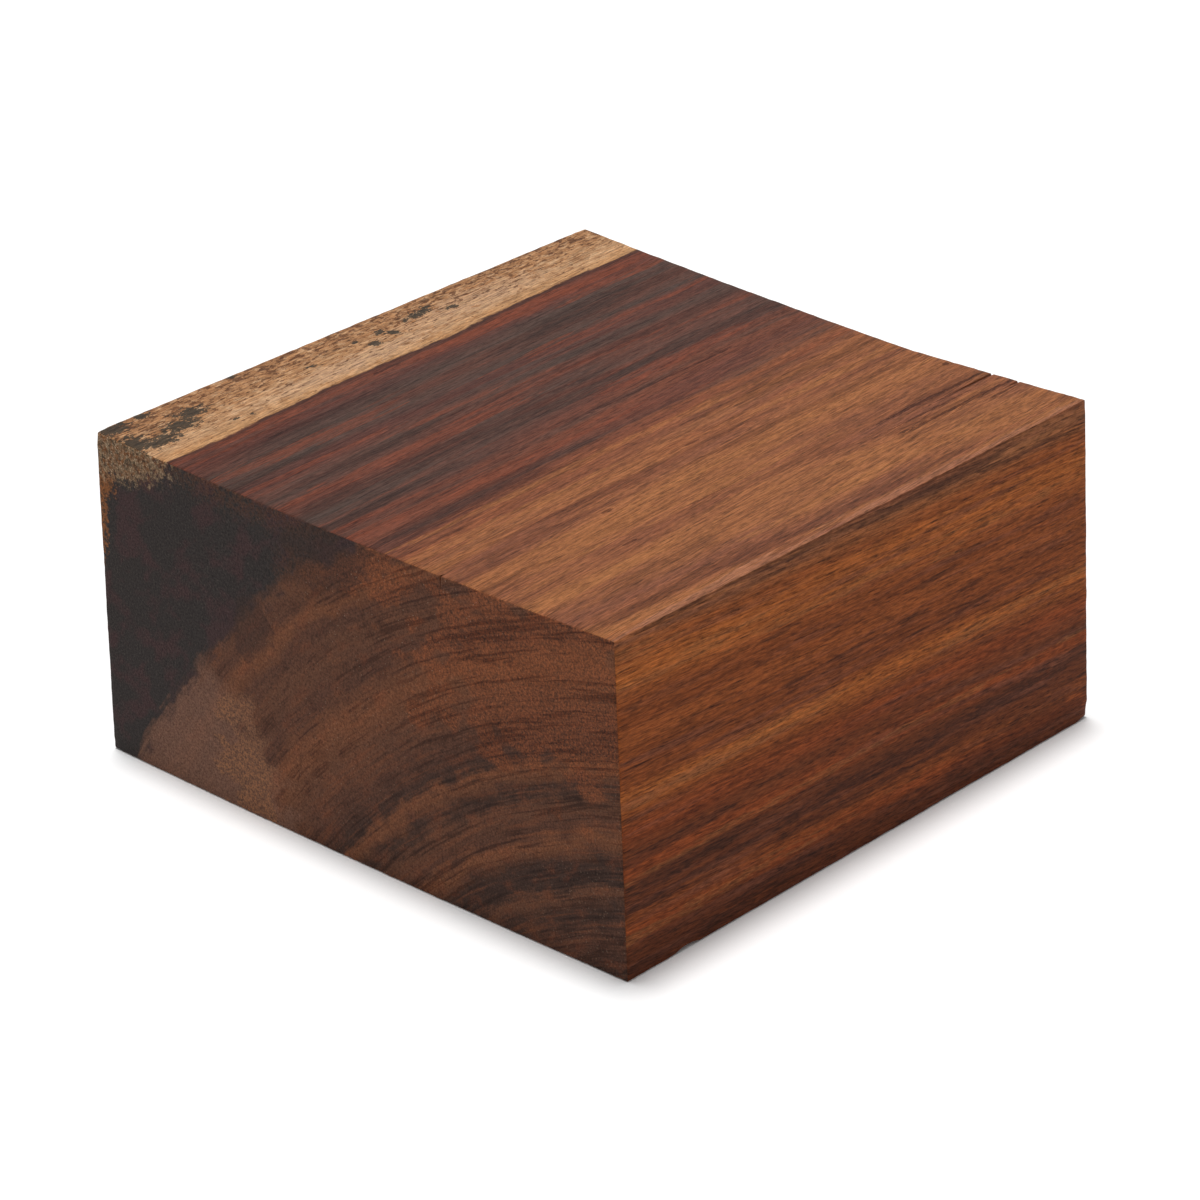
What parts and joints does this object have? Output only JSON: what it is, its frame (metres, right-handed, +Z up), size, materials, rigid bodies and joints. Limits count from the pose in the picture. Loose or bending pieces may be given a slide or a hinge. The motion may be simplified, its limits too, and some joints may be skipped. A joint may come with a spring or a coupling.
{
  "type": "wood turning blank",
  "caption": "Rough-sawn square block of figured rosewood-like timber with a sapwood edge, for turning a small bowl on a lathe.",
  "frame": {"origin": "middle of the block's bounding box, on the sole that it rests on", "axes": "+X along the grain, from the front sawn end to the back one; +Y towards the sapwood side; +Z up, the block's shortest way"},
  "size_m": [0.1538, 0.1538, 0.077],
  "materials": {
    "timber": "satin"
  },
  "bodies": {
    "root": {"turning_blank": "timber"}
  },
  "joints": []
}
